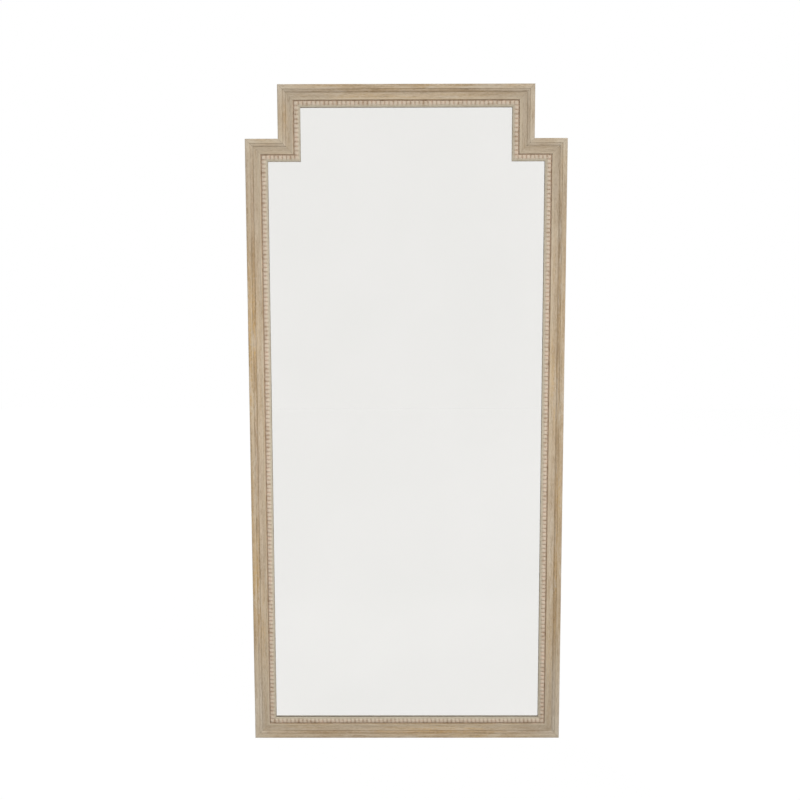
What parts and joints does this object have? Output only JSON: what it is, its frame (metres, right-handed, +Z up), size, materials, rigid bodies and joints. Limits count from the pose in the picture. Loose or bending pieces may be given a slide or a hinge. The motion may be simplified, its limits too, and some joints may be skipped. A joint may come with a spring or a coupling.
{
  "type": "framed mirror",
  "caption": "Tall framed wall mirror with stepped top corners, a mitred limed-oak moulding, a ribbed bead round the glass, and ring hangers on the back.",
  "frame": {"origin": "middle of the lower rear edge of the wooden frame, on its rear plane and on its underside", "axes": "+Z up along the tall side, +X to the right of someone facing the glass, +Y from the glass towards the wall"},
  "size_m": [1.016, 0.048, 2.134],
  "materials": {
    "oak": "wire-brushed oak with a grey-tan limed stain, matt",
    "limed_bead": "carved oak bead, limed paler than the moulding, matt",
    "pine": "plain planed softwood",
    "plywood": "unfinished plywood back",
    "beech": "plain compressed beech",
    "mirror": "silvered float glass",
    "zinc_steel": "zinc-plated steel",
    "ring_steel": "zinc-plated steel wire",
    "rubber": "black moulded rubber"
  },
  "bodies": {
    "frame": {"bottom_rail": "oak", "stile_right": "oak", "shoulder_right": "oak", "neck_right": "oak", "top_rail": "oak", "neck_left": "oak", "shoulder_left": "oak", "stile_left": "oak", "bead_bottom": "limed_bead", "bead_stile_right": "limed_bead", "bead_shoulder_right": "limed_bead", "bead_neck_right": "limed_bead", "bead_top": "limed_bead", "bead_neck_left": "limed_bead", "bead_shoulder_left": "limed_bead", "bead_stile_left": "limed_bead", "stop_bottom": "pine", "stop_stile_right": "pine", "stop_shoulder_right": "pine", "stop_neck_right": "pine", "stop_top": "pine", "stop_neck_left": "pine", "stop_shoulder_left": "pine", "stop_stile_left": "pine", "mirror_pane": "mirror", "back_panel": "plywood", "mitre_splines": "beech", "setting_blocks": "rubber", "wall_bumpers": "rubber", "hanger_screws": "zinc_steel", "panel_points": "zinc_steel", "hanger_strap_left": "zinc_steel", "hanger_strap_right": "zinc_steel"},
    "ring_left": {"hanger_ring_left": "ring_steel"},
    "ring_right": {"hanger_ring_right": "ring_steel"}
  },
  "joints": [
    {"name": "ring_left_swing", "type": "hinge", "parent": "frame", "child": "ring_left", "pos_m": [-0.488, 0.00325, 1.6], "axis": [1, 0, 0], "range_deg": [0, 178]},
    {"name": "ring_right_swing", "type": "hinge", "parent": "frame", "child": "ring_right", "pos_m": [0.488, 0.00325, 1.6], "axis": [1, 0, 0], "range_deg": [0, 178]}
  ]
}
